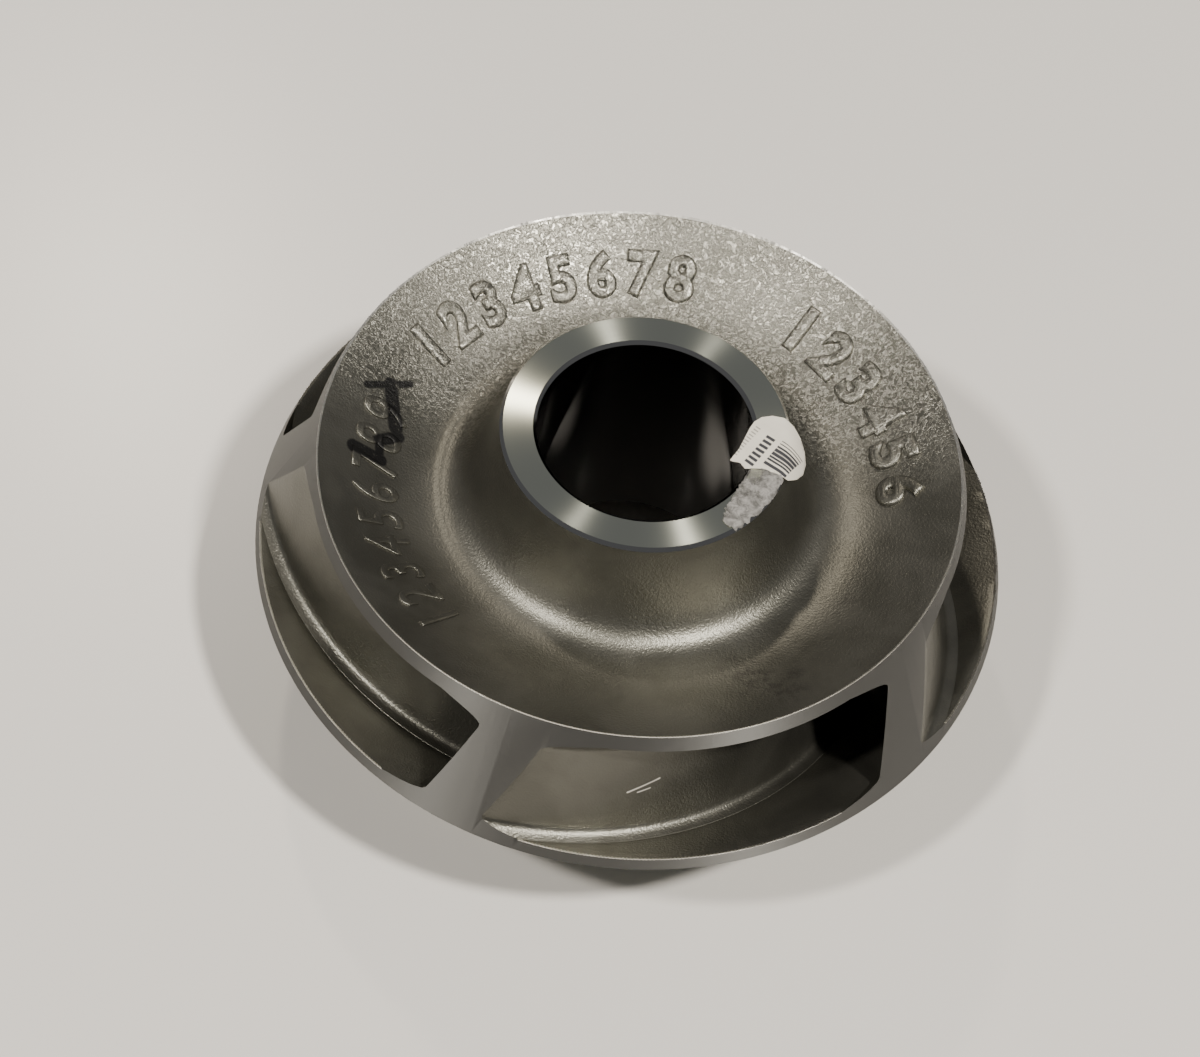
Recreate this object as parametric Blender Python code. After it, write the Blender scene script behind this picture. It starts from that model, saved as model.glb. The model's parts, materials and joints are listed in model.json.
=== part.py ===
"""A closed mixed-flow pump impeller: one stainless casting, turned after casting, with a torn stock label.

Metres, +Z up along the shaft's axis. The eye ring's turned face stands on z = 0, and the boss faces up.
A casting is poured as rough blanks (hub, front shroud and vanes), fused, and then turned to its outlet cone.
"""
import math

import bmesh
import bpy
from mathutils import Matrix, Vector

MM = 0.001

# Driving dimensions of the hub plate, which is dished round its boss.
PLATE_HEIGHT = 47.0 * MM
PLATE_RADIUS = 47.5 * MM
PLATE_EDGE = 2.2 * MM
BOSS_HEIGHT = 6.65 * MM
BOSS_RADIUS = 21.25 * MM
BORE_RADIUS = 15.9 * MM
CHAMFER = 0.5 * MM
DISH_RADIUS = 29.8 * MM
DISH_DEPTH = 8.4 * MM
NOSE_HEIGHT = 12.5 * MM
NOSE_RADIUS = 20.5 * MM

# Driving dimensions of the front shroud and the eye ring that it stands on.
RIM_TOP_DROP = 19.1 * MM
RIM_BAND = 1.7 * MM
EYE_RADIUS = 38.0 * MM
RING_RADIUS = 42.5 * MM
RING_HEIGHT = 10.0 * MM
RING_STEP = 0.8 * MM

# The outlet is turned to one cone, which widens downwards by this much for each unit of height.
CONE_RATE = 0.457

# Driving dimensions of the vanes.
VANE_COUNT = 5
VANE_START = math.radians(176.0)
VANE_WRAP = math.radians(92.0)
HUB_LEAD = math.radians(7.5)
VANE_AT_HUB = 3.0 * MM
VANE_AT_SHROUD = 2.4 * MM
VANE_END_HUB = 0.85
VANE_END_SHROUD = 0.78
NOSE_ROUNDING = 0.06
FILLET_AT_HUB = 2.6 * MM
FILLET_AT_SHROUD = 1.8 * MM
SINK_IN_HUB = 0.02
SINK_IN_SHROUD = 0.08

# The label's torn outline as (x, y) on the boss's face, counter-clockwise from its corner by the bore.
LABEL_OUTLINE = [
    (14.4 * MM, 4.4 * MM),
    (14.4 * MM, 0.4 * MM),
    (12.6 * MM, -3.5 * MM),
    (13.9 * MM, -5.2 * MM),
    (14.8 * MM, -7.5 * MM),
    (13.8 * MM, -12.4 * MM),
    (12.0 * MM, -15.0 * MM),
    (14.0 * MM, -15.6 * MM),
    (17.4 * MM, -12.2 * MM),
    (19.8 * MM, -8.8 * MM),
    (21.4 * MM, -5.7 * MM),
    (23.4 * MM, -2.8 * MM),
    (23.7 * MM, -0.8 * MM),
    (22.4 * MM, 2.2 * MM),
    (20.4 * MM, 4.4 * MM),
    (17.0 * MM, 5.3 * MM),
]
LABEL_THICKNESS = 0.4 * MM
CLEARANCE = 0.3 * MM

TURN_STEPS = 64
CURVE_STEPS = 6
VANE_STEPS = 14
SPAN_STEPS = 10


def cone_radius(z):
    """Radius of the turned outlet cone at height z."""
    return PLATE_RADIUS + CONE_RATE * (PLATE_HEIGHT - z)


RIM_TOP = PLATE_HEIGHT - RIM_TOP_DROP
RIM_LOW = RIM_TOP - RIM_BAND
PLATE_UNDER = PLATE_HEIGHT - PLATE_EDGE

# Bezier handles, as (radius, height), of the curved walls seen in a cut through the axis.
HUB_WALL = [
    Vector((cone_radius(PLATE_UNDER), PLATE_UNDER)),
    Vector((39.5 * MM, 39.0 * MM)),
    Vector((25.0 * MM, 33.0 * MM)),
    Vector((NOSE_RADIUS, NOSE_HEIGHT + 1.5 * MM)),
]
SHROUD_WALL = [
    Vector((cone_radius(RIM_TOP), RIM_TOP)),
    Vector((46.5 * MM, 23.5 * MM)),
    Vector((39.5 * MM, 17.0 * MM)),
    Vector((EYE_RADIUS, 4.0 * MM)),
]
SHROUD_BACK = [
    Vector((cone_radius(RIM_LOW), RIM_LOW)),
    Vector((49.0 * MM, 21.5 * MM)),
    Vector((RING_RADIUS + RING_STEP, 17.5 * MM)),
    Vector((RING_RADIUS + RING_STEP, RING_HEIGHT + RING_STEP)),
]
BOSS_SIDE = [
    Vector((BOSS_RADIUS, PLATE_HEIGHT + 5.0 * MM)),
    Vector((22.6 * MM, PLATE_HEIGHT - 1.5 * MM)),
    Vector((24.4 * MM, PLATE_HEIGHT - DISH_DEPTH)),
    Vector((DISH_RADIUS, PLATE_HEIGHT - DISH_DEPTH)),
]
DISH = [
    Vector((DISH_RADIUS, PLATE_HEIGHT - DISH_DEPTH)),
    Vector((34.5 * MM, PLATE_HEIGHT - DISH_DEPTH)),
    Vector((38.5 * MM, PLATE_HEIGHT - 5.5 * MM)),
    Vector((PLATE_RADIUS, PLATE_HEIGHT)),
]


def bezier(handles, t):
    """Point at t on a cubic curve, carried on straight before its start."""
    first, second, third, last = handles
    if t < 0.0:
        return first + (second - first) * 3.0 * t
    s = 1.0 - t
    return first * s**3 + second * (3.0 * s * s * t) + third * (3.0 * s * t * t) + last * t**3


def arc_points(handles, steps=CURVE_STEPS):
    """Evenly spaced points along one cubic curve, both ends included."""
    return [bezier(handles, index / steps) for index in range(steps + 1)]


def past_cone(point, rise=0.0, reach=1.5 * MM):
    """The same wall carried outwards past the outlet cone, so that turning leaves a clean edge."""
    return Vector((point.x + reach, point.y + rise * reach))


def new_object(name, bm):
    """An object of that name from a finished bmesh, shaded smooth up to sharp edges."""
    mesh = bpy.data.meshes.new(name)
    bm.to_mesh(mesh)
    bm.free()
    mesh.shade_smooth()
    mesh.set_sharp_from_angle(angle=math.radians(35.0))
    obj = bpy.data.objects.new(name, mesh)
    bpy.context.scene.collection.objects.link(obj)
    return obj


def turned(name, outline):
    """A solid of revolution round Z from a closed outline of (radius, height) points."""
    bm = bmesh.new()
    verts = [bm.verts.new((point[0], 0.0, point[1])) for point in outline]
    edges = [bm.edges.new((verts[index - 1], verts[index])) for index in range(len(verts))]
    bmesh.ops.spin(
        bm, geom=verts + edges, cent=(0, 0, 0), axis=(0, 0, 1), angle=math.tau, steps=TURN_STEPS, use_merge=True
    )
    bmesh.ops.remove_doubles(bm, verts=bm.verts, dist=1e-6)
    bmesh.ops.recalc_face_normals(bm, faces=bm.faces)
    return new_object(name, bm)


def make_guide(obj):
    """Marks an object as a blank or a cutter, which is no piece of its own."""
    obj.hide_render = True
    obj.display_type = "WIRE"


def material(name, colour, roughness, metallic):
    """A plain Principled material of one colour."""
    mat = bpy.data.materials.new(name)
    mat.use_nodes = True
    shader = mat.node_tree.nodes["Principled BSDF"]
    shader.inputs["Base Color"].default_value = (*colour, 1.0)
    shader.inputs["Roughness"].default_value = roughness
    shader.inputs["Metallic"].default_value = metallic
    return mat


def hub_blank():
    """Dished hub plate, boss, bore and nose as cast, with the plate's rim left proud for turning."""
    boss_top = PLATE_HEIGHT + BOSS_HEIGHT
    boss = [
        (BORE_RADIUS, boss_top - CHAMFER),
        (BORE_RADIUS + CHAMFER, boss_top),
        (BOSS_RADIUS - CHAMFER, boss_top),
        (BOSS_RADIUS, boss_top - CHAMFER),
    ]
    plate = arc_points(BOSS_SIDE) + arc_points(DISH)[1:-1]
    rise = (DISH[3].y - DISH[2].y) / (DISH[3].x - DISH[2].x)
    rim = [past_cone(DISH[3], rise), past_cone(HUB_WALL[0])]
    nose = [
        (NOSE_RADIUS - 0.5 * MM, NOSE_HEIGHT + 0.4 * MM),
        (NOSE_RADIUS - 1.5 * MM, NOSE_HEIGHT),
        (BORE_RADIUS + CHAMFER, NOSE_HEIGHT),
        (BORE_RADIUS, NOSE_HEIGHT + CHAMFER),
    ]
    return turned("impeller_casting", boss + plate + rim + arc_points(HUB_WALL) + nose)


def shroud_blank():
    """Front shroud with its eye and the turned ring under it."""
    mouth = [
        (EYE_RADIUS, CHAMFER * 2.0),
        (EYE_RADIUS + CHAMFER * 2.0, 0.0),
        (RING_RADIUS - CHAMFER * 2.0, 0.0),
        (RING_RADIUS, CHAMFER * 2.0),
        (RING_RADIUS, RING_HEIGHT),
    ]
    back = list(reversed(arc_points(SHROUD_BACK)))
    rim = [past_cone(SHROUD_BACK[0]), past_cone(SHROUD_WALL[0])]
    return turned("shroud_blank", mouth + back + rim + arc_points(SHROUD_WALL))


def cove(depth, radius):
    """How far a vane's side flares out at that depth from a wall, as a fillet of about that radius."""
    share = min(max(depth / radius, 0.0), 1.0)
    return radius * (1.0 - share) ** 2


def passage_point(along, across):
    """(radius, height) in the water passage: along from outlet 0 to leading edge 1, across from hub 0 to shroud 1."""
    hub = bezier(HUB_WALL, along * VANE_END_HUB)
    shroud = bezier(SHROUD_WALL, along * VANE_END_SHROUD)
    return hub.lerp(shroud, across)


def vane_point(along, across, side):
    """Place on a vane's face, where side is -1 or 1, with its rounded nose and the fillets at both walls."""
    point = passage_point(along, across)
    step = 0.01
    advance = (passage_point(along + step, across) - passage_point(along - step, across)).length / (2.0 * step)
    slope = math.atan2(advance, point.x * VANE_WRAP)
    half = (VANE_AT_HUB + (VANE_AT_SHROUD - VANE_AT_HUB) * across) / 2.0
    width = (passage_point(along, 1.0) - passage_point(along, 0.0)).length
    half += cove(across * width, FILLET_AT_HUB) + cove((1.0 - across) * width, FILLET_AT_SHROUD)
    taper = max(0.0, (along - (1.0 - NOSE_ROUNDING)) / NOSE_ROUNDING)
    half *= math.sqrt(max(0.02, 1.0 - taper * taper))
    angle = VANE_START + HUB_LEAD * (1.0 - across) + VANE_WRAP * along
    angle += side * half / (point.x * math.sin(slope))
    return Vector((point.x * math.cos(angle), point.x * math.sin(angle), point.y))


def vane_blank(index):
    """One vane: a slab bent round the axis, a little longer and wider than the passage that it crosses."""
    bm = bmesh.new()
    bmesh.ops.create_grid(bm, x_segments=VANE_STEPS, y_segments=SPAN_STEPS, size=1.0)
    slab = bmesh.ops.extrude_face_region(bm, geom=list(bm.faces))
    far_side = {item for item in slab["geom"] if isinstance(item, bmesh.types.BMVert)}
    overrun = 0.16
    for vert in bm.verts:
        sink = SINK_IN_HUB if vert.co.y < 0.0 else SINK_IN_SHROUD
        along = -overrun + (1.0 + overrun) * (vert.co.x + 1.0) / 2.0
        across = 0.5 + (0.5 + sink) * math.sin(vert.co.y * math.pi / 2.0)
        vert.co = vane_point(along, across, 1.0 if vert in far_side else -1.0)
    bmesh.ops.rotate(
        bm, verts=bm.verts, cent=(0, 0, 0), matrix=Matrix.Rotation(math.tau * index / VANE_COUNT, 3, "Z")
    )
    bmesh.ops.recalc_face_normals(bm, faces=bm.faces)
    return new_object(f"vane_blank_{index + 1}", bm)


def outlet_cutter():
    """The ring of metal that turning takes off outside the outlet cone."""
    low = RIM_LOW - 4.0 * MM
    high = PLATE_HEIGHT + 4.0 * MM
    outer = cone_radius(low) + 10.0 * MM
    return turned(
        "outlet_cutter",
        [(cone_radius(low), low), (cone_radius(high), high), (outer, high), (outer, low)],
    )


def casting():
    """Fuses the blanks into the one casting and turns its outlet."""
    body = hub_blank()
    blanks = bpy.data.collections.new("casting_blanks")
    bpy.context.scene.collection.children.link(blanks)
    for blank in [shroud_blank()] + [vane_blank(index) for index in range(VANE_COUNT)]:
        bpy.context.scene.collection.objects.unlink(blank)
        blanks.objects.link(blank)
        make_guide(blank)
    fuse = body.modifiers.new("fuse_blanks", "BOOLEAN")
    fuse.operation = "UNION"
    fuse.operand_type = "COLLECTION"
    fuse.collection = blanks
    fuse.solver = "EXACT"
    cutter = outlet_cutter()
    make_guide(cutter)
    turn = body.modifiers.new("turn_outlet", "BOOLEAN")
    turn.operation = "DIFFERENCE"
    turn.object = cutter
    turn.solver = "EXACT"
    body.data.materials.append(material("cast_stainless", (0.42, 0.39, 0.36), 0.42, 1.0))


def label():
    """The torn paper label on the boss's face, reaching a little past the face on both sides."""
    bm = bmesh.new()
    height = PLATE_HEIGHT + BOSS_HEIGHT + CLEARANCE
    bm.faces.new([bm.verts.new((x, y, height)) for x, y in LABEL_OUTLINE])
    sheet = bmesh.ops.extrude_face_region(bm, geom=list(bm.faces))
    top = [item for item in sheet["geom"] if isinstance(item, bmesh.types.BMVert)]
    bmesh.ops.translate(bm, verts=top, vec=(0.0, 0.0, LABEL_THICKNESS))
    bmesh.ops.triangulate(bm, faces=bm.faces)
    bmesh.ops.recalc_face_normals(bm, faces=bm.faces)
    sheet_object = new_object("paper_label", bm)
    sheet_object.data.materials.append(material("label_paper", (0.80, 0.78, 0.74), 0.75, 0.0))


for old in list(bpy.data.objects):
    bpy.data.objects.remove(old, do_unlink=True)

casting()
label()
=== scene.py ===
# A closed pump impeller of cast stainless steel, standing on its eye with the boss upwards.
import json
import math

import bmesh
import bpy
from mathutils import Matrix, Vector, noise

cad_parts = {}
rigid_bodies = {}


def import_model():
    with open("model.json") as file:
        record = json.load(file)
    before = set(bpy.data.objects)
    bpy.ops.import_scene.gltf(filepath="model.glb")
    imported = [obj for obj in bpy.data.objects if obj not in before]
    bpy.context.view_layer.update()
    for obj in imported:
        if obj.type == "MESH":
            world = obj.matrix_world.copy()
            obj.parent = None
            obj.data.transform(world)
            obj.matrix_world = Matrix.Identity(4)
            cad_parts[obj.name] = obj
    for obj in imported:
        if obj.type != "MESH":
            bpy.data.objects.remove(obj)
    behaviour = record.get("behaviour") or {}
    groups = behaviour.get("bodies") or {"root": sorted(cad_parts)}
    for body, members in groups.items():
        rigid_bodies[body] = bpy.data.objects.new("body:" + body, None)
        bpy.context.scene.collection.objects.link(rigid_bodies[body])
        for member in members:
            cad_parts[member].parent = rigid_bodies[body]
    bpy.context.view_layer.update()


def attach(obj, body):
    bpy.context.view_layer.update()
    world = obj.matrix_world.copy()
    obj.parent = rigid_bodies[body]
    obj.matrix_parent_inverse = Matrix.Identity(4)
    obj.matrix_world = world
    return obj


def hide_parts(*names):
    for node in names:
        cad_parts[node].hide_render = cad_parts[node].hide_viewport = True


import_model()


# The casting. The real impeller is poured in stainless steel in one piece: a dished hub plate round its
# boss, a front shroud with the suction eye, and five backward-curved vanes between them. The outlet cone,
# the boss's face, the bore and the eye's ring are turned afterwards. The rest keeps the mould's grain.
MM = 0.001
PLATE_HEIGHT = 47.0 * MM
PLATE_RADIUS = 47.5 * MM
PLATE_EDGE = 2.2 * MM
CONE_RATE = 0.457
BOSS_TOP = PLATE_HEIGHT + 6.65 * MM
BOSS_RADIUS = 21.25 * MM
BORE_RADIUS = 15.9 * MM
CHAMFER = 0.5 * MM
DISH_RADIUS = 29.8 * MM
DISH_FLOOR = PLATE_HEIGHT - 8.4 * MM
NOSE_HEIGHT = 12.5 * MM
NOSE_RADIUS = 20.5 * MM
RIM_TOP = PLATE_HEIGHT - 19.1 * MM
RIM_LOW = RIM_TOP - 1.7 * MM
EYE_RADIUS = 38.0 * MM
RING_RADIUS = 42.5 * MM
RING_HEIGHT = 10.0 * MM
RING_STEP = 0.8 * MM
VANE_COUNT = 5
VANE_START = math.radians(176.0)
VANE_WRAP = math.radians(92.0)
HUB_LEAD = math.radians(7.5)
VANE_AT_HUB = 3.0 * MM
VANE_AT_SHROUD = 2.4 * MM
VANE_END_HUB = 0.85
VANE_END_SHROUD = 0.78
NOSE_ROUNDING = 0.06
FILLET_AT_HUB = 2.6 * MM
FILLET_AT_SHROUD = 1.8 * MM
SINK_IN_HUB = 0.02
SINK_IN_SHROUD = 0.08
OUTLET_OVERRUN = 0.16
STOCK_PAST_CONE = 1.5 * MM
SWARF_MARGIN = 4.0 * MM
SWARF_THICKNESS = 22.0 * MM
TURN_STEPS = 288
WALL_STEPS = 22
STEPS_ALONG_VANE = 60
STEPS_ACROSS_VANE = 46
SHARP_EDGE = 32.0


def cone_radius(z):
    """Radius of the turned outlet cone at height z."""
    return PLATE_RADIUS + CONE_RATE * (PLATE_HEIGHT - z)


def curve_point(handles, t):
    """Point at t on a cubic curve, carried on straight before its start."""
    first, second, third, last = (Vector(handle) for handle in handles)
    if t < 0.0:
        return first + (second - first) * 3.0 * t
    s = 1.0 - t
    return first * s**3 + second * (3.0 * s * s * t) + third * (3.0 * s * t * t) + last * t**3


def wall(handles, steps=WALL_STEPS):
    """Evenly spaced points of one curved wall, as (radius, height)."""
    return [curve_point(handles, index / steps) for index in range(steps + 1)]


HUB_WALL = [
    (cone_radius(PLATE_HEIGHT - PLATE_EDGE), PLATE_HEIGHT - PLATE_EDGE),
    (39.5 * MM, 39.0 * MM),
    (25.0 * MM, 33.0 * MM),
    (NOSE_RADIUS, NOSE_HEIGHT + 1.5 * MM),
]
SHROUD_WALL = [
    (cone_radius(RIM_TOP), RIM_TOP),
    (46.5 * MM, 23.5 * MM),
    (39.5 * MM, 17.0 * MM),
    (EYE_RADIUS, 4.0 * MM),
]
SHROUD_BACK = [
    (cone_radius(RIM_LOW), RIM_LOW),
    (49.0 * MM, 21.5 * MM),
    (RING_RADIUS + RING_STEP, 17.5 * MM),
    (RING_RADIUS + RING_STEP, RING_HEIGHT + RING_STEP),
]
BOSS_SIDE = [
    (BOSS_RADIUS, PLATE_HEIGHT + 5.0 * MM),
    (22.6 * MM, PLATE_HEIGHT - 1.5 * MM),
    (24.4 * MM, DISH_FLOOR),
    (DISH_RADIUS, DISH_FLOOR),
]
DISH = [
    (DISH_RADIUS, DISH_FLOOR),
    (34.5 * MM, DISH_FLOOR),
    (38.5 * MM, PLATE_HEIGHT - 5.5 * MM),
    (PLATE_RADIUS, PLATE_HEIGHT),
]
DISH_RISE = (DISH[3][1] - DISH[2][1]) / (DISH[3][0] - DISH[2][0])


def object_from(name, bm, sharp=35.0):
    """A scene object from a finished bmesh, smooth up to edges sharper than that angle in degrees."""
    mesh = bpy.data.meshes.new(name)
    bm.to_mesh(mesh)
    bm.free()
    mesh.shade_smooth()
    mesh.set_sharp_from_angle(angle=math.radians(sharp))
    obj = bpy.data.objects.new(name, mesh)
    bpy.context.scene.collection.objects.link(obj)
    return obj


def turned(name, outline, steps=TURN_STEPS):
    """A solid of revolution round Z from a closed outline of (radius, height) points."""
    bm = bmesh.new()
    verts = [bm.verts.new((point[0], 0.0, point[1])) for point in outline]
    edges = [bm.edges.new((verts[index - 1], verts[index])) for index in range(len(verts))]
    bmesh.ops.spin(
        bm, geom=verts + edges, cent=(0, 0, 0), axis=(0, 0, 1), angle=math.tau, steps=steps, use_merge=True
    )
    bmesh.ops.remove_doubles(bm, verts=bm.verts, dist=1e-6)
    bmesh.ops.recalc_face_normals(bm, faces=bm.faces)
    return object_from(name, bm)


def past_cone(point, rise=0.0):
    """The same wall carried outwards past the outlet cone, so that turning leaves a clean edge."""
    return (point[0] + STOCK_PAST_CONE, point[1] + rise * STOCK_PAST_CONE)


hub = turned(
    "impeller",
    [
        (BORE_RADIUS, BOSS_TOP - CHAMFER),
        (BORE_RADIUS + CHAMFER, BOSS_TOP),
        (BOSS_RADIUS - CHAMFER, BOSS_TOP),
        (BOSS_RADIUS, BOSS_TOP - CHAMFER),
    ]
    + wall(BOSS_SIDE)
    + wall(DISH)[1:-1]
    + [past_cone(DISH[3], DISH_RISE), past_cone(HUB_WALL[0])]
    + wall(HUB_WALL)
    + [
        (NOSE_RADIUS - 0.2 * MM, NOSE_HEIGHT + 0.8 * MM),
        (NOSE_RADIUS - 0.7 * MM, NOSE_HEIGHT + 0.25 * MM),
        (NOSE_RADIUS - 1.5 * MM, NOSE_HEIGHT),
        (BORE_RADIUS + CHAMFER, NOSE_HEIGHT),
        (BORE_RADIUS, NOSE_HEIGHT + CHAMFER),
    ],
)
shroud = turned(
    "shroud_as_poured",
    [
        (EYE_RADIUS, CHAMFER * 2.0),
        (EYE_RADIUS + CHAMFER * 2.0, 0.0),
        (RING_RADIUS - CHAMFER * 2.0, 0.0),
        (RING_RADIUS, CHAMFER * 2.0),
        (RING_RADIUS, RING_HEIGHT),
    ]
    + list(reversed(wall(SHROUD_BACK)))
    + [past_cone(SHROUD_BACK[0]), past_cone(SHROUD_WALL[0])]
    + wall(SHROUD_WALL),
)


def cove(depth, radius):
    """How far a vane's side flares out at that depth from a wall, as a fillet of about that radius."""
    share = min(max(depth / radius, 0.0), 1.0)
    return radius * (1.0 - share) ** 2


def passage_point(along, across):
    """Radius and height in a passage, along from outlet 0 to inlet 1 and across from hub 0 to shroud 1."""
    at_hub = curve_point(HUB_WALL, along * VANE_END_HUB)
    return at_hub.lerp(curve_point(SHROUD_WALL, along * VANE_END_SHROUD), across)


def vane_point(along, across, side):
    """Place on a vane's face, where side is -1 or 1, with its rounded nose and its fillets at both walls."""
    point = passage_point(along, across)
    step = 0.01
    ahead, behind = passage_point(along + step, across), passage_point(along - step, across)
    advance = (ahead - behind).length / (2.0 * step)
    slope = math.atan2(advance, point.x * VANE_WRAP)
    half = (VANE_AT_HUB + (VANE_AT_SHROUD - VANE_AT_HUB) * across) / 2.0
    width = (passage_point(along, 1.0) - passage_point(along, 0.0)).length
    half += cove(across * width, FILLET_AT_HUB) + cove((1.0 - across) * width, FILLET_AT_SHROUD)
    taper = max(0.0, (along - (1.0 - NOSE_ROUNDING)) / NOSE_ROUNDING)
    half *= math.sqrt(max(0.02, 1.0 - taper * taper))
    angle = VANE_START + HUB_LEAD * (1.0 - across) + VANE_WRAP * along
    angle += side * half / (point.x * math.sin(slope))
    return Vector((point.x * math.cos(angle), point.x * math.sin(angle), point.y))


def vane(index):
    """One vane: a slab bent round the axis, a little longer and wider than the passage that it crosses."""
    bm = bmesh.new()
    bmesh.ops.create_grid(bm, x_segments=STEPS_ALONG_VANE, y_segments=STEPS_ACROSS_VANE, size=1.0)
    slab = bmesh.ops.extrude_face_region(bm, geom=list(bm.faces))
    far_side = {item for item in slab["geom"] if isinstance(item, bmesh.types.BMVert)}
    for vert in bm.verts:
        along = -OUTLET_OVERRUN + (1.0 + OUTLET_OVERRUN) * (vert.co.x + 1.0) / 2.0
        sink = SINK_IN_HUB if vert.co.y < 0.0 else SINK_IN_SHROUD
        across = 0.5 + (0.5 + sink) * math.sin(vert.co.y * math.pi / 2.0)
        vert.co = vane_point(along, across, 1.0 if vert in far_side else -1.0)
    turn = Matrix.Rotation(math.tau * index / VANE_COUNT, 3, "Z")
    bmesh.ops.rotate(bm, verts=bm.verts, cent=(0, 0, 0), matrix=turn)
    bmesh.ops.recalc_face_normals(bm, faces=bm.faces)
    return object_from(f"vane_as_poured_{index + 1}", bm)


blanks = bpy.data.collections.new("blanks")
bpy.context.scene.collection.children.link(blanks)
for blank in [shroud] + [vane(index) for index in range(VANE_COUNT)]:
    bpy.context.scene.collection.objects.unlink(blank)
    blanks.objects.link(blank)
swarf = turned(
    "swarf",
    [
        (cone_radius(RIM_LOW - SWARF_MARGIN), RIM_LOW - SWARF_MARGIN),
        (cone_radius(PLATE_HEIGHT + SWARF_MARGIN), PLATE_HEIGHT + SWARF_MARGIN),
        (PLATE_RADIUS + SWARF_THICKNESS, PLATE_HEIGHT + SWARF_MARGIN),
        (PLATE_RADIUS + SWARF_THICKNESS, RIM_LOW - SWARF_MARGIN),
    ],
)
fuse = hub.modifiers.new("fuse", "BOOLEAN")
fuse.operation = "UNION"
fuse.operand_type = "COLLECTION"
fuse.collection = blanks
fuse.solver = "EXACT"
turning = hub.modifiers.new("turning", "BOOLEAN")
turning.operation = "DIFFERENCE"
turning.object = swarf
turning.solver = "EXACT"


def settled(obj):
    """The object with its modifiers made part of its mesh."""
    depsgraph = bpy.context.evaluated_depsgraph_get()
    mesh = bpy.data.meshes.new_from_object(obj.evaluated_get(depsgraph), depsgraph=depsgraph)
    obj.modifiers.clear()
    obj.data = mesh
    return obj


impeller = settled(hub)
for blank in list(blanks.objects) + [swarf]:
    bpy.data.objects.remove(blank, do_unlink=True)
bpy.data.collections.remove(blanks)
impeller.data.shade_smooth()
impeller.data.set_sharp_from_angle(angle=math.radians(SHARP_EDGE))


class Field:
    """A value that varies over a surface. Arithmetic on it adds the Math nodes of its material."""

    def __init__(self, finish, socket):
        self.finish = finish
        self.socket = socket

    def math(self, operation, *others):
        return self.finish.number(operation, self, *others)

    def __add__(self, other):
        return self.math("ADD", other)

    def __sub__(self, other):
        return self.math("SUBTRACT", other)

    def __rsub__(self, other):
        return self.finish.number("SUBTRACT", other, self)

    def __mul__(self, other):
        return self.math("MULTIPLY", other)

    def __truediv__(self, other):
        return self.math("DIVIDE", other)

    def __rtruediv__(self, other):
        return self.finish.number("DIVIDE", other, self)

    def __pow__(self, other):
        return self.math("POWER", other)

    __radd__ = __add__
    __rmul__ = __mul__


class Finish:
    """One material: its Principled shader, and the nodes that feed it."""

    def __init__(self, name, sockets):
        self.material = bpy.data.materials.new(name)
        self.material.use_nodes = True
        self.nodes = self.material.node_tree.nodes
        self.shader = self.nodes["Principled BSDF"]
        self.feed(self.shader, sockets)

    def feed(self, node, sockets):
        """Sets each named or numbered socket to a value, or links it to a field."""
        for key, value in sockets.items():
            if isinstance(value, Field):
                self.material.node_tree.links.new(value.socket, node.inputs[key])
            elif isinstance(value, tuple) and len(node.inputs[key].default_value) == 4:
                node.inputs[key].default_value = (*value[:3], 1.0)
            else:
                node.inputs[key].default_value = value

    def node(self, kind, settings, sockets, output=0):
        """Any node, from its settings and its sockets, as the field of one of its outputs."""
        made = self.nodes.new("ShaderNode" + kind)
        for key, value in settings.items():
            setattr(made, key, value)
        self.feed(made, sockets)
        return Field(self, made.outputs[output])

    def number(self, operation, *values):
        return self.node("Math", {"operation": operation}, dict(enumerate(values)))

    def step(self, value, low, high):
        """0 below low, 1 above high, and smooth between."""
        sockets = {"Value": value, "From Min": low, "From Max": high}
        return self.node("MapRange", {"interpolation_type": "SMOOTHSTEP"}, sockets)

    def mix(self, share, first, second):
        """A colour between two others."""
        settings = {"data_type": "RGBA", "blend_type": "MIX", "clamp_factor": True}
        return self.node("Mix", settings, {0: share, 6: first, 7: second}, 2)

    def place(self):
        """The three object coordinates, and the point itself."""
        point = self.node("TexCoord", {}, {}, "Object")
        split = self.node("SeparateXYZ", {}, {0: point})
        return [Field(self, split.socket.node.outputs[axis]) for axis in range(3)] + [point]

    def grain(self, point, scale, detail=2.0, roughness=0.5, distortion=0.0):
        """Soft random noise of about one over scale metres."""
        sockets = {"Vector": point, "Scale": scale, "Detail": detail}
        sockets.update({"Roughness": roughness, "Distortion": distortion})
        return self.node("TexNoise", {}, sockets)

    def relief(self, height, distance):
        """A bumped normal whose height of 1 stands for that many metres."""
        return self.node("Bump", {}, {"Height": height, "Distance": distance, "Strength": 1.0})


# The skin left by the mould is a fine pebbled grey, with a faint ridge where the dish meets the fillet round
# the boss, a few stains, two bright scratches in a passage and strokes of a marker. Its lighter crystals on
# the far half are partly grain and partly a painted glitter, since their colour stands in for the lamps'
# sparkle there.
SKIN_DARK = (0.127, 0.124, 0.106)
SKIN_LIGHT = (0.165, 0.161, 0.140)
PAINTED_GLITTER_TONE = (0.37, 0.36, 0.315)
STAIN_TONE = (0.07, 0.065, 0.06)
BARE_TONE = (0.95, 0.92, 0.86)
INK_TONE = (0.012, 0.012, 0.014)
RIDGE_RADIUS = 29.6 * MM
DISH_ONLY = (36.0 * MM, 39.0 * MM)
cast_skin = Finish("cast_skin", {"Metallic": 0.93, "Specular IOR Level": 0.3})
x, y, z, point = cast_skin.place()
radius = (x * x + y * y) ** 0.5
pebbles = cast_skin.grain(point, 2600.0, 2.0, 0.6)
sparkle = cast_skin.grain(point, 4200.0, 1.0, 0.5)
blotch = cast_skin.grain(point, 70.0, 3.0, 0.6, 0.4)
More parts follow.
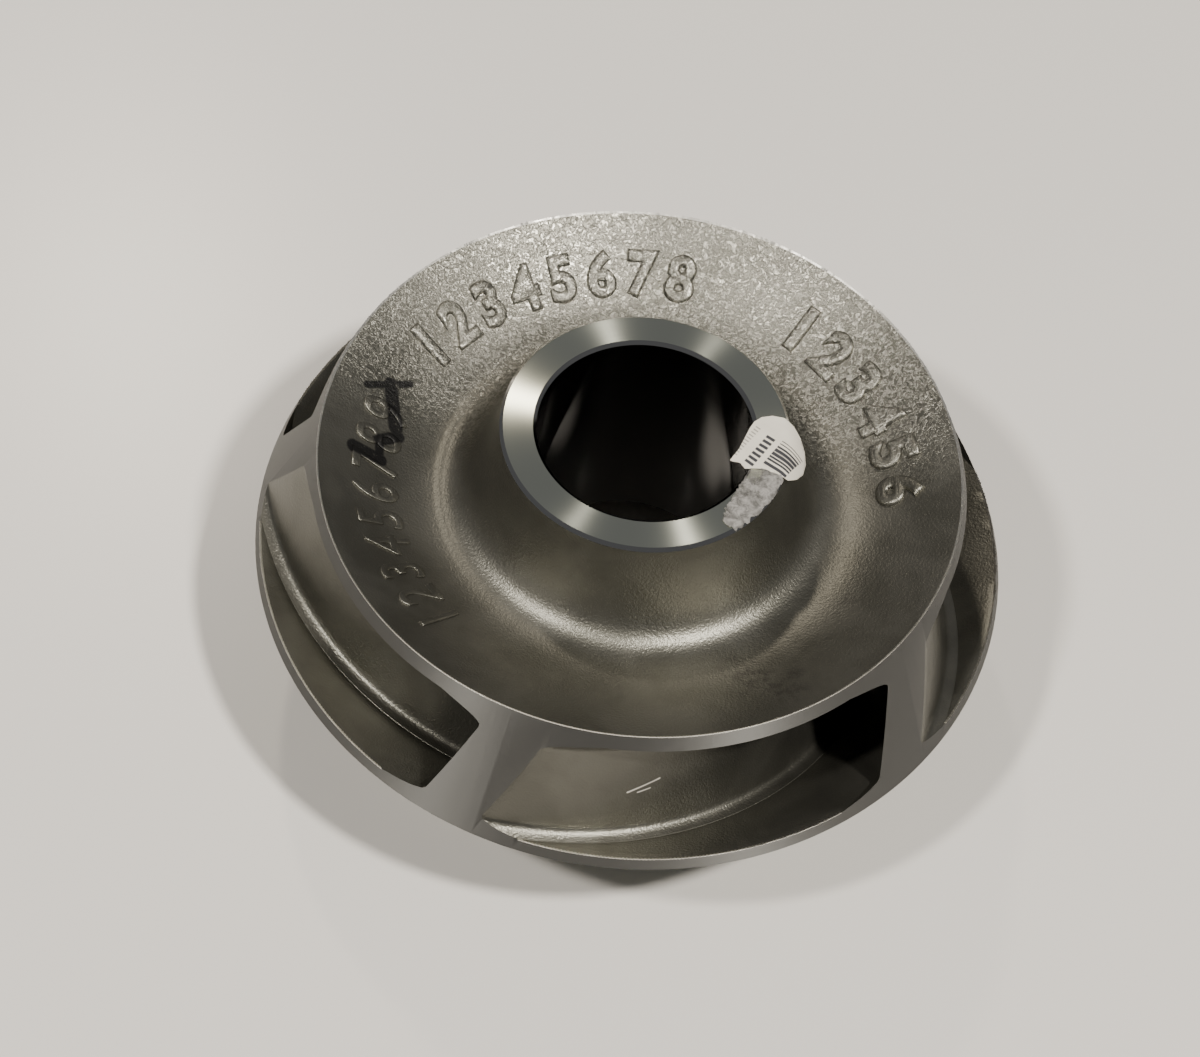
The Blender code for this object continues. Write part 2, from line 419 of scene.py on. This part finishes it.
# Painted glitter: the crystals' lighter colour is laid only on the far half of the dish, where the lamps
# sparkle.
crystals_and_painted_glitter = cast_skin.step(cast_skin.grain(point, 1500.0, 3.0, 0.7, 1.0), 0.44, 0.60)
crystals_and_painted_glitter = crystals_and_painted_glitter * cast_skin.step(y, -2.0 * MM, 24.0 * MM) * cast_skin.step(z, *DISH_ONLY)
tone = cast_skin.mix(cast_skin.step(blotch, 0.35, 0.65), SKIN_DARK, SKIN_LIGHT)
tone = cast_skin.mix(crystals_and_painted_glitter * 0.9, tone, PAINTED_GLITTER_TONE)
ridge = cast_skin.step(radius, RIDGE_RADIUS - 0.8 * MM, RIDGE_RADIUS)
ridge = ridge * (1.0 - cast_skin.step(radius, RIDGE_RADIUS, RIDGE_RADIUS + 1.0 * MM))
ridge = ridge * cast_skin.step(x * -1.0 + y * 0.5, 8.0 * MM, 24.0 * MM)
ridge = ridge * cast_skin.step(z, 36.0 * MM, 38.0 * MM)


def segment_mask(finish, point, start, end, half_width, soft):
    """1 within that half width of a straight segment between two places, and 0 outside."""
    along = Vector(end) - Vector(start)
    away = finish.node("VectorMath", {"operation": "SUBTRACT"}, {0: point, 1: tuple(start)})
    ruler = tuple(along / along.length_squared)
    share = finish.node("VectorMath", {"operation": "DOT_PRODUCT"}, {0: away, 1: ruler}, 1)
    share = finish.number("MINIMUM", finish.number("MAXIMUM", share, 0.0), 1.0)
    nearest = finish.node("VectorMath", {"operation": "SCALE"}, {0: tuple(along), 3: share})
    gap = finish.node("VectorMath", {"operation": "DISTANCE"}, {0: away, 1: nearest}, 1)
    return 1.0 - finish.step(gap, half_width - soft, half_width + soft)


def joined(finish, masks):
    """The largest of several masks."""
    whole = masks[0]
    for mask in masks[1:]:
        whole = finish.number("MAXIMUM", whole, mask)
    return whole


def dish_place(azimuth, radius):
    """Rough place on the dish, for paint and stains, from its azimuth in degrees and its radius in mm."""
    turn = math.radians(azimuth)
    share = min(max((radius * MM - DISH_RADIUS) / (PLATE_RADIUS - DISH_RADIUS), 0.0), 1.0)
    rise = 0.12 * share + 0.88 * share * share * (1.6 - 0.6 * share)
    height = DISH_FLOOR + (PLATE_HEIGHT - DISH_FLOOR) * rise
    return (radius * MM * math.cos(turn), radius * MM * math.sin(turn), height)


# Each stroke runs between two places on the dish, as azimuth in degrees and radius in mm, and has a width
# in mm.
INK_STROKES = [
    ((165.0, 40.2), (174.4, 37.2), 0.55),
    ((168.6, 43.0), (161.8, 38.0), 0.28),
    ((183.8, 42.4), (184.6, 38.5), 0.55),
    ((179.8, 39.2), (176.3, 36.4), 0.45),
    ((184.6, 38.6), (179.8, 38.9), 0.35),
]
smear = cast_skin.grain(point, 900.0, 3.0, 0.7)
ink = joined(
    cast_skin,
    [
        segment_mask(cast_skin, point, dish_place(*start), dish_place(*end), wide * 2.2 * MM, 0.2 * MM)
        for start, end, wide in INK_STROKES
    ],
) * cast_skin.step(smear, 0.22, 0.42)
STAINS = [
    ((301.0, 34.0), (305.0, 43.0), 2.4),
    ((330.0, 36.5), (334.0, 36.0), 0.7),
    ((297.0, 39.0), (309.0, 40.0), 1.4),
]
stain = joined(
    cast_skin,
    [
        segment_mask(cast_skin, point, dish_place(*start), dish_place(*end), wide * MM, 1.4 * MM)
        for start, end, wide in STAINS
    ],
) * cast_skin.step(cast_skin.grain(point, 600.0, 3.0, 0.65), 0.42, 0.62)
tone = cast_skin.mix(stain * 0.55, tone, STAIN_TONE)
# Each scratch runs between two points of a vane's face in mm, and has half a width in mm.
SCRATCHES = [
    ((4.1, -48.0, 32.5), (8.3, -45.4, 33.15), 0.16),
    ((5.5, -47.5, 32.0), (7.2, -46.6, 32.1), 0.12),
]
scratch = joined(
    cast_skin,
    [
        segment_mask(cast_skin, point, Vector(start) * MM, Vector(end) * MM, wide * MM, 0.05 * MM)
        for start, end, wide in SCRATCHES
    ],
)
tone = cast_skin.mix(scratch, tone, BARE_TONE)
tone = cast_skin.mix(ink * 0.9, tone, INK_TONE)
height = pebbles + 0.3 * sparkle + 0.7 * crystals_and_painted_glitter + 0.9 * ridge
cast_skin.feed(
    cast_skin.shader,
    {
        "Base Color": tone,
        "Roughness": 0.33 + 0.12 * blotch + 0.1 * ink - 0.06 * crystals_and_painted_glitter,
        "Normal": cast_skin.relief(height, 0.065 * MM),
    },
)

# The turned metal has fine grooves that run round the axis, so a lamp shows on it as a streak across them.
TURNED = {"Metallic": 1.0, "Anisotropic Rotation": 0.25}
# The outlet's steel is painted far darker than turned steel is, as a painted shade for the dark room that it
# reflects.
OUTLET_METAL_PAINTED_DARK = (0.165, 0.164, 0.156)
# The boss face's steel is painted far lighter than the other turned steel, as a painted sheen.
FACE_METAL_PAINTED_SHEEN = (0.93, 0.95, 0.80)
# The bore's steel is painted near black, as a painted shade for the dark inside of the hole.
BORE_METAL_PAINTED_SHADE = (0.11, 0.108, 0.105)
CHAMFER_METAL = (0.55, 0.54, 0.51)
turned_outlet = Finish("turned_outlet", {**TURNED, "Base Color": OUTLET_METAL_PAINTED_DARK, "Anisotropic": 0.95})
z = turned_outlet.place()[2]
tool_marks = turned_outlet.grain(turned_outlet.node("CombineXYZ", {}, {2: z}), 5000.0, 3.0, 0.7)
turned_outlet.feed(
    turned_outlet.shader,
    {"Roughness": 0.30 + 0.12 * tool_marks, "Normal": turned_outlet.relief(tool_marks, 0.008 * MM)},
)

turned_face = Finish("turned_face", {**TURNED, "Base Color": FACE_METAL_PAINTED_SHEEN, "Anisotropic": 1.0})
x, y, z = turned_face.place()[:3]
radius = (x * x + y * y) ** 0.5
tool_marks = turned_face.grain(turned_face.node("CombineXYZ", {}, {0: radius, 2: z}), 6000.0, 3.0, 0.7)
turned_face.feed(
    turned_face.shader,
    {"Roughness": 0.17 + 0.06 * tool_marks, "Normal": turned_face.relief(tool_marks, 0.002 * MM)},
)

bored = Finish("bored", {**TURNED, "Base Color": BORE_METAL_PAINTED_SHADE, "Anisotropic": 1.0})
z = bored.place()[2]
tool_marks = bored.grain(bored.node("CombineXYZ", {}, {2: z}), 3000.0, 3.0, 0.7)
bored.feed(
    bored.shader, {"Roughness": 0.07 + 0.05 * tool_marks, "Normal": bored.relief(tool_marks, 0.004 * MM)}
)

chamfered = Finish("chamfered", {"Metallic": 1.0, "Base Color": CHAMFER_METAL, "Roughness": 0.09})

# The faces are told apart by where they lie, to within a small slack, and the first finish is left on the
# rest.
ON_CONE, ON_FACE, IN_BORE, ON_CHAMFER = 1, 2, 3, 4
SLACK = 0.05 * MM
for finish in (cast_skin, turned_outlet, turned_face, bored, chamfered):
    impeller.data.materials.append(finish.material)
for face in impeller.data.polygons:
    corners = [impeller.data.vertices[index].co for index in face.vertices]
    radii = [corner.xy.length for corner in corners]
    lowest = min(corner.z for corner in corners)
    highest = max(corner.z for corner in corners)
    outward = face.normal.xy.dot(face.center.xy.normalized())
    on_cone = all(abs(radius - cone_radius(corner.z)) < 0.4 * SLACK for radius, corner in zip(radii, corners))
    if on_cone and outward > 0.8:
        face.material_index = ON_CONE
    elif max(radii) < BORE_RADIUS + SLACK:
        face.material_index = IN_BORE
    elif lowest > BOSS_TOP - CHAMFER - 0.2 * SLACK:
        face.material_index = ON_CHAMFER if face.normal.z < 0.9 else ON_FACE
    elif highest < RING_HEIGHT + RING_STEP and min(radii) > EYE_RADIUS - SLACK:
        face.material_index = ON_FACE
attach(impeller, "root")
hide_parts("impeller_casting")


# The raised figures. The pattern leaves two rows of figures standing 0.65 mm proud on the slope of the
# dish, with steep sides and rounded tops, and a third row that is worn almost flat. They are cast with the
# plate. Plain counting figures stand in their place.
FIGURE_FOOT = 35.7 * MM
FIGURE_REACH = 6.8 * MM
FIGURE_SIZE = 10.5 * MM
FIGURE_SIDE = 0.12 * MM
FIGURE_ROOT = 0.1 * MM
FIGURE_SLICES = 10


def dish_height(radius):
    """Height of the dish's cast face at that radius."""
    low, high = 0.0, 1.0
    for _ in range(24):
        middle = (low + high) / 2.0
        if curve_point(DISH, middle).x < radius:
            low = middle
        else:
            high = middle
    return curve_point(DISH, low).y


def on_dish(radius, azimuth, lift=0.0):
    """Point of the dish's face at that radius and azimuth, lifted square off the face."""
    slope = (dish_height(radius + 0.1 * MM) - dish_height(radius - 0.1 * MM)) / (0.2 * MM)
    square = Vector((-slope, 1.0)).normalized() * lift
    out = radius + square.x
    return Vector((out * math.cos(azimuth), out * math.sin(azimuth), dish_height(radius) + square.y))


def figure(bm, character, azimuth, wide, proud, weight):
    """Adds one raised figure to a row, with its top outwards and its foot buried in the plate."""
    text = bpy.data.curves.new("figure", "FONT")
    text.body = character
    text.align_x = "CENTER"
    text.size = FIGURE_SIZE
    text.offset = weight
    text.extrude = FIGURE_SIDE
    text.bevel_depth = proud - FIGURE_SIDE
    text.bevel_resolution = 1
    holder = bpy.data.objects.new("figure", text)
    bpy.context.scene.collection.objects.link(holder)
    depsgraph = bpy.context.evaluated_depsgraph_get()
    mesh = bpy.data.meshes.new_from_object(holder.evaluated_get(depsgraph), depsgraph=depsgraph)
    bpy.data.objects.remove(holder, do_unlink=True)
    bpy.data.curves.remove(text)
    one = bmesh.new()
    one.from_mesh(mesh)
    bpy.data.meshes.remove(mesh)
    bmesh.ops.remove_doubles(one, verts=one.verts, dist=1e-6)
    lowest = min(vert.co.y for vert in one.verts)
    tall = max(vert.co.y for vert in one.verts) - lowest
    bmesh.ops.translate(one, verts=one.verts, vec=(0.0, -lowest, 0.0))
    bmesh.ops.scale(one, verts=one.verts, vec=(wide, FIGURE_REACH / tall, 1.0))
    whole = one.verts[:] + one.edges[:] + one.faces[:]
    root = (0, 0, -FIGURE_ROOT)
    bmesh.ops.bisect_plane(one, geom=whole, plane_co=root, plane_no=(0, 0, -1), clear_outer=True)
    bmesh.ops.holes_fill(one, edges=[edge for edge in one.edges if edge.is_boundary])
    for cut in range(1, FIGURE_SLICES):
        whole = one.verts[:] + one.edges[:] + one.faces[:]
        slice_at = (0, FIGURE_REACH * cut / FIGURE_SLICES, 0)
        bmesh.ops.bisect_plane(one, geom=whole, plane_co=slice_at, plane_no=(0, 1, 0))
    for vert in one.verts:
        sideways = vert.co.x
        radius = math.hypot(FIGURE_FOOT + vert.co.y, sideways)
        vert.co = on_dish(radius, azimuth - math.atan2(sideways, FIGURE_FOOT + vert.co.y), vert.co.z)
    bmesh.ops.triangulate(one, faces=one.faces)
    placed = bpy.data.meshes.new("placed")
    one.to_mesh(placed)
    one.free()
    bm.from_mesh(placed)
    bpy.data.meshes.remove(placed)


def figure_row(name, characters, start, end, wide, proud, weight):
    """One row of figures from one azimuth to the other, in degrees."""
    bm = bmesh.new()
    for index, character in enumerate(characters):
        azimuth = start + (end - start) * index / (len(characters) - 1)
        figure(bm, character, math.radians(azimuth), wide, proud, weight)
    bmesh.ops.recalc_face_normals(bm, faces=bm.faces)
    row = object_from(name, bm, sharp=50.0)
    row.data.materials.append(cast_skin.material)
    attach(row, "root")


figure_row("figures_long_row", "12345678", 150.7, 86.2, 0.82, 0.65 * MM, 0.10 * MM)
figure_row("figures_short_row", "123456", 55.4, 5.9, 0.92, 0.65 * MM, 0.10 * MM)
figure_row("figures_worn_row", "123456789", 229.0, 172.0, 0.7, 0.28 * MM, 0.0)


# The edges' burrs. Turning the outlet leaves a thin ragged lip of bright metal along the plate's rim and
# along the upper edge of the shroud's rim, painted lighter still as a painted glint. Each is one thin ring
# with three corners, whose outer one is torn to teeth.
def burr(name, radius, height, inward, downward, reach, lean, tooth, seed, hidden=None):
    """A ring with a ragged tip along one edge. Its two roots lie just under the two faces that meet there."""
    bm = bmesh.new()
    count = int(math.tau * radius / tooth)
    rings = []
    for index in range(count):
        turn = math.tau * index / count
        spot = Vector((math.cos(turn), math.sin(turn), 0.0))
        coarse = noise.noise(spot * radius / (2.2 * MM) + Vector((seed, 0.0, 0.0)))
        fine = noise.noise(spot * radius / (0.35 * MM) + Vector((0.0, seed, 0.0)))
        tip = max(0.1, 0.55 + 0.35 * coarse + 0.5 * fine) * reach * (1.0 if index % 2 else 0.25)
        if hidden is not None and hidden(turn):
            tip = -0.2 * MM
        corners = [
            (radius + inward[0], height + inward[1]),
            (radius + downward[0], height + downward[1]),
            (radius + tip * math.cos(lean), height + tip * math.sin(lean)),
        ]
        rings.append([bm.verts.new((spot.x * out, spot.y * out, up)) for out, up in corners])
    for index in range(count):
        here, after = rings[index - 1], rings[index]
        for corner in range(3):
            bm.faces.new((here[corner], after[corner], after[corner - 1], here[corner - 1]))
    bmesh.ops.recalc_face_normals(bm, faces=bm.faces)
    ring = object_from(name, bm, sharp=20.0)
    ring.data.materials.append(torn_metal_and_glint.material)
    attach(ring, "root")


def under_land(turn):
    """Whether that azimuth lies where a vane's turned end meets the shroud's rim."""
    for index in range(VANE_COUNT):
        middle = VANE_START + math.tau * index / VANE_COUNT
        away = (turn - middle + math.pi) % math.tau - math.pi
        if abs(away) < LAND_HALF:
            return True
    return False


foot = vane_point(0.0, 1.0, 1.0)
LAND_HALF = (math.atan2(foot.y, foot.x) - VANE_START + math.pi) % math.tau - math.pi
# Torn bright metal, painted near white as a painted glint, so that the teeth shine from any side.
torn_metal_and_glint = Finish("torn_metal_and_glint", {"Metallic": 1.0, "Base Color": (0.85, 0.83, 0.77)})
point = torn_metal_and_glint.place()[3]
torn_metal_and_glint.feed(torn_metal_and_glint.shader, {"Roughness": 0.22 + 0.3 * torn_metal_and_glint.grain(point, 3000.0)})
burr(
    "plate_burr",
    PLATE_RADIUS,
    PLATE_HEIGHT,
    inward=(-0.25 * MM, -0.17 * MM),
    downward=(0.05 * MM, -0.16 * MM),
    reach=0.34 * MM,
    lean=1.2,
    tooth=0.22 * MM,
    seed=3.0,
)
burr(
    "rim_burr",
    cone_radius(RIM_TOP),
    RIM_TOP,
    inward=(-0.3 * MM, -0.17 * MM),
    downward=(0.06 * MM, -0.2 * MM),
    reach=0.42 * MM,
    lean=1.0,
    tooth=0.26 * MM,
    seed=8.0,
    hidden=under_land,
)


# The label. A torn piece of printed paper tape is stuck over the boss's face, with a tongue of it over the
# bore and its rounded end bent down over the boss's edge. Below the tear only the fibres of its backing
# are left.
BOSS_FACE = BOSS_TOP + 0.02 * MM
LABEL_EDGE = [
    (14.9, 2.4), (14.3, 0.4), (13.6, -1.8), (12.5, -4.0), (14.1, -4.2), (14.7, -4.9), (15.9, -4.6),
    (17.2, -4.4), (18.6, -4.8), (20.1, -5.2), (21.2, -5.5), (22.5, -4.4), (23.4, -2.8), (23.7, -0.8),
    (23.3, 1.2), (22.5, 2.9), (21.3, 4.3), (19.8, 5.2), (18.0, 5.3), (16.5, 4.8), (15.5, 3.8),
]
FIBRE_EDGE = [
    (15.0, -4.6), (17.2, -4.2), (20.0, -5.0), (20.9, -6.0), (20.3, -8.0), (19.2, -10.2), (17.6, -12.4),
    (16.0, -14.2), (14.6, -15.6), (13.2, -15.2), (12.4, -14.4), (12.7, -12.0), (13.6, -9.4), (14.6, -7.0),
]
LABEL_LIFT = 0.17 * MM
LABEL_CURL = 5.2 * MM
LABEL_THICKNESS = 0.1 * MM
LABEL_GRID = 0.4 * MM
FIBRE_LIFT = 0.05 * MM
FIBRE_THICKNESS = 0.06 * MM
FIBRE_GRID = 0.22 * MM


def paper(name, edge, cut_size, shape, thick):
    """A sheet from its outline in mm, cut into a fine grid, laid by its shape and given its thickness."""
    bm = bmesh.new()
    bm.faces.new([bm.verts.new((px * MM, py * MM, 0.0)) for px, py in edge])
    for axis in range(2):
        normal = (1.0, 0.0, 0.0) if axis == 0 else (0.0, 1.0, 0.0)
        low = min(vert.co[axis] for vert in bm.verts)
        high = max(vert.co[axis] for vert in bm.verts)
        cut = low + cut_size
        while cut < high:
            spot = [0.0, 0.0, 0.0]
            spot[axis] = cut
            whole = bm.verts[:] + bm.edges[:] + bm.faces[:]
            bmesh.ops.bisect_plane(bm, geom=whole, plane_co=spot, plane_no=normal)
            cut += cut_size
    for vert in bm.verts:
        vert.co = shape(vert.co, vert.is_boundary)
    bmesh.ops.recalc_face_normals(bm, faces=bm.faces)
    if sum(face.normal.z for face in bm.faces) < 0.0:
        bmesh.ops.reverse_faces(bm, faces=bm.faces)
    under = bmesh.ops.extrude_face_region(bm, geom=bm.faces[:], use_keep_orig=True)
    lower = [item for item in under["geom"] if isinstance(item, bmesh.types.BMVert)]
    bmesh.ops.translate(bm, verts=lower, vec=(0.0, 0.0, -thick))
    bmesh.ops.recalc_face_normals(bm, faces=bm.faces)
    sheet = object_from(name, bm, sharp=50.0)
    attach(sheet, "root")
    return sheet


def label_lie(spot, on_edge):
    """The label's lie: flat on the boss's face, bent down past its edge and lifted a little over the bore."""
    radius = spot.xy.length
    past = max(0.0, radius - (BOSS_RADIUS - 1.2 * MM))
    over_bore = max(0.0, BORE_RADIUS + 0.6 * MM - radius)
    ripple = 0.03 * MM * noise.noise(spot / (2.0 * MM))
    torn = on_edge and spot.y < -3.0 * MM
    push = 0.16 * MM * noise.noise(spot / (0.4 * MM)) if torn else 0.0
    height = BOSS_FACE + LABEL_LIFT - past * past / LABEL_CURL + over_bore * 0.12 + ripple
    return Vector((spot.x, spot.y + push, height))


def fibre_lie(spot, on_edge):
    """The fibres' lie: a thin rough layer on the boss's face, ragged, and bent over its outer chamfer."""
    radius = spot.xy.length
    ragged = 0.7 * MM * noise.noise(spot / (0.5 * MM)) if on_edge else 0.0
    furthest = BOSS_RADIUS - 0.1 * MM + 0.6 * MM * noise.noise(spot / (0.9 * MM) + Vector((4.0, 0.0, 0.0)))
    radius = min(max(radius + ragged, BORE_RADIUS + 0.25 * MM), min(furthest, BOSS_RADIUS + 0.02 * MM))
    flat = spot.xy.normalized() * radius
    past = max(0.0, radius - (BOSS_RADIUS - CHAMFER))
    rough = 0.05 * MM * (1.0 + noise.noise(spot / (0.45 * MM)))
    return Vector((flat.x, flat.y, BOSS_FACE + FIBRE_LIFT + rough - past))


label = paper("label", LABEL_EDGE, LABEL_GRID, label_lie, LABEL_THICKNESS)
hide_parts("paper_label")
fibres = paper("label_fibres", FIBRE_EDGE, FIBRE_GRID, fibre_lie, FIBRE_THICKNESS)

# The print is plain: a faint dotted line by the bore, a row of short thick dashes, and a block of bars
# beyond. It is laid out along the printed rows and outwards across them, both measured in the plane of the
# boss's face.
PRINT_ANGLE = math.radians(240.6)
ROW_ENDS = (-10.5 * MM, -3.9 * MM)
BAR_ENDS = (-10.6 * MM, -5.3 * MM)
DOT_ROW = (12.3 * MM, 13.1 * MM)
DASH_ROW = (14.45 * MM, 15.9 * MM)
BAR_ROW = (16.75 * MM, 20.6 * MM)
DOT_PITCH = 0.62 * MM
DASH_PITCH = 0.93 * MM
BAR_PITCH = 0.19 * MM
PAST_ALL_ROWS = 40.0
PRINT_TONE = (0.03, 0.03, 0.035)
label_paper = Finish("label_paper", {"Roughness": 0.55})
x, y, _, point = label_paper.place()
down_row = x * math.cos(PRINT_ANGLE) + y * math.sin(PRINT_ANGLE)
out_row = x * -math.sin(PRINT_ANGLE) + y * math.cos(PRINT_ANGLE)


def band(finish, value, low, high, soft=0.04 * MM):
    """1 between two values and 0 outside."""
    return finish.step(value, low - soft, low + soft) * (1.0 - finish.step(value, high - soft, high + soft))


def repeated(finish, value, pitch):
    """How far along its own pitch a place is, from 0 to 1 over and over."""
    return finish.number("FRACT", value / pitch + PAST_ALL_ROWS)


dashes = band(label_paper, out_row, *DASH_ROW) * band(label_paper, down_row, *ROW_ENDS)
dashes = dashes * band(label_paper, repeated(label_paper, down_row, DASH_PITCH), 0.12, 0.7, 0.03)
ticks = label_paper.number("FLOOR", down_row / BAR_PITCH)
chance = label_paper.node("TexWhiteNoise", {"noise_dimensions": "1D"}, {"W": ticks})
bars = band(label_paper, out_row, *BAR_ROW) * band(label_paper, down_row, *BAR_ENDS, 0.02 * MM)
bars = bars * label_paper.step(chance, 0.42, 0.46)
dots = band(label_paper, out_row, *DOT_ROW) * band(label_paper, down_row, *ROW_ENDS)
dots = dots * band(label_paper, repeated(label_paper, down_row, DOT_PITCH), 0.2, 0.6, 0.08) * 0.6
print_mask = joined(label_paper, [dashes, bars, dots])
sheet_tone = label_paper.mix(label_paper.grain(point, 500.0, 3.0), (0.54, 0.51, 0.44), (0.64, 0.61, 0.53))
sheet_tone = label_paper.mix(print_mask, sheet_tone, PRINT_TONE)
label_paper.feed(label_paper.shader, {"Base Color": sheet_tone})
label.data.materials.append(label_paper.material)

paper_fibre = Finish("paper_fibre", {"Roughness": 0.9})
x, y, _, point = paper_fibre.place()
fluff = paper_fibre.grain(point, 900.0, 4.0, 0.7, 0.6)
patches = paper_fibre.grain(point, 330.0, 4.0, 0.65)
radius = (x * x + y * y) ** 0.5
cover = paper_fibre.step(patches + (radius - 18.0 * MM) * 50.0, 0.36, 0.56)
fibre_tone = paper_fibre.mix(paper_fibre.step(fluff, 0.3, 0.7), (0.08, 0.078, 0.073), (0.27, 0.262, 0.25))
paper_fibre.feed(
    paper_fibre.shader,
    {
        "Base Color": fibre_tone,
        "Alpha": 0.12 + 0.88 * cover,
        "Normal": paper_fibre.relief(fluff, 0.12 * MM),
    },
)
fibres.data.materials.append(paper_fibre.material)


# The camera stands where the photograph was taken from, above the front of the table and looking down on
# it, a little rolled. Its focal length is for a sensor 36 mm wide.
CAMERA_PLACE = (-0.00470, -0.22669, 0.35219)
FOCAL_LENGTH = 77.66
camera_data = bpy.data.cameras.new("camera")
camera_data.sensor_width = 36.0
camera_data.lens = FOCAL_LENGTH
camera_data.clip_start = 0.01
camera_data.clip_end = 20.0
camera = bpy.data.objects.new("camera", camera_data)
bpy.context.scene.collection.objects.link(camera)
ELEVATION = math.radians(55.11)
ROLL = math.radians(7.66)
back = Vector((0.0, -math.cos(ELEVATION), math.sin(ELEVATION)))
level = Vector((1.0, 0.0, 0.0))
upward = back.cross(level)
across = level * math.cos(ROLL) + upward * math.sin(ROLL)
upright = upward * math.cos(ROLL) - level * math.sin(ROLL)
facing = Matrix((across, upright, back)).transposed().to_4x4()
camera.matrix_world = Matrix.Translation(CAMERA_PLACE) @ facing
bpy.context.scene.camera = camera


# The floor is a plain pale table top with a soft gloss. It is one flat sheet that reaches past every view,
# and the impeller stands on it with its turned eye ring.
FLOOR_REACH = 1.5
bm = bmesh.new()
bmesh.ops.create_grid(bm, x_segments=8, y_segments=8, size=FLOOR_REACH)
floor = object_from("floor", bm)
table_top = Finish("table_top", {"Base Color": (0.62, 0.60, 0.57), "Roughness": 0.28})
floor.data.materials.append(table_top.material)


# Soft lamps over the front corners light the table round the impeller, a warm window shines from the rear
# left, and the even light of the room fills the rest.
def lamp(name, azimuth, elevation, size, power, pool=0.0, distance=1.6, colour=(1.0, 0.95, 0.87)):
    """A round lamp shining from that direction in degrees, on a pool of that radius if any."""
    data = bpy.data.lights.new(name, "SPOT" if pool else "AREA")
    if pool:
        data.shadow_soft_size = size / 2.0
        data.spot_size = 2.0 * math.atan(pool / distance)
        data.spot_blend = 0.5
    else:
        data.shape = "DISK"
        data.size = size
    data.energy = power
    data.color = colour
    obj = bpy.data.objects.new(name, data)
    bpy.context.scene.collection.objects.link(obj)
    turn, rise = math.radians(azimuth), math.radians(elevation)
    direction = Vector((math.cos(rise) * math.cos(turn), math.cos(rise) * math.sin(turn), math.sin(rise)))
    aim = Vector((0.0, 0.05, 0.0)) if pool else Vector((0.0, 0.0, 0.0))
    place = direction * distance
    facing = (place - aim).to_track_quat("Z", "Y").to_matrix().to_4x4()
    obj.matrix_world = Matrix.Translation(place) @ facing


lamp("front_right_lamp", -36.0, 62.0, 0.12, 138.0, pool=0.34)
lamp("front_left_lamp", -141.0, 57.0, 0.12, 80.0, pool=0.34)
lamp("rear_window", 111.0, 48.6, 0.09, 4.0, colour=(1.0, 0.9, 0.76))
room = bpy.data.worlds.new("room")
room.use_nodes = True
room.node_tree.nodes["Background"].inputs["Color"].default_value = (0.92, 0.94, 1.0, 1.0)
room.node_tree.nodes["Background"].inputs["Strength"].default_value = 0.12
bpy.context.scene.world = room
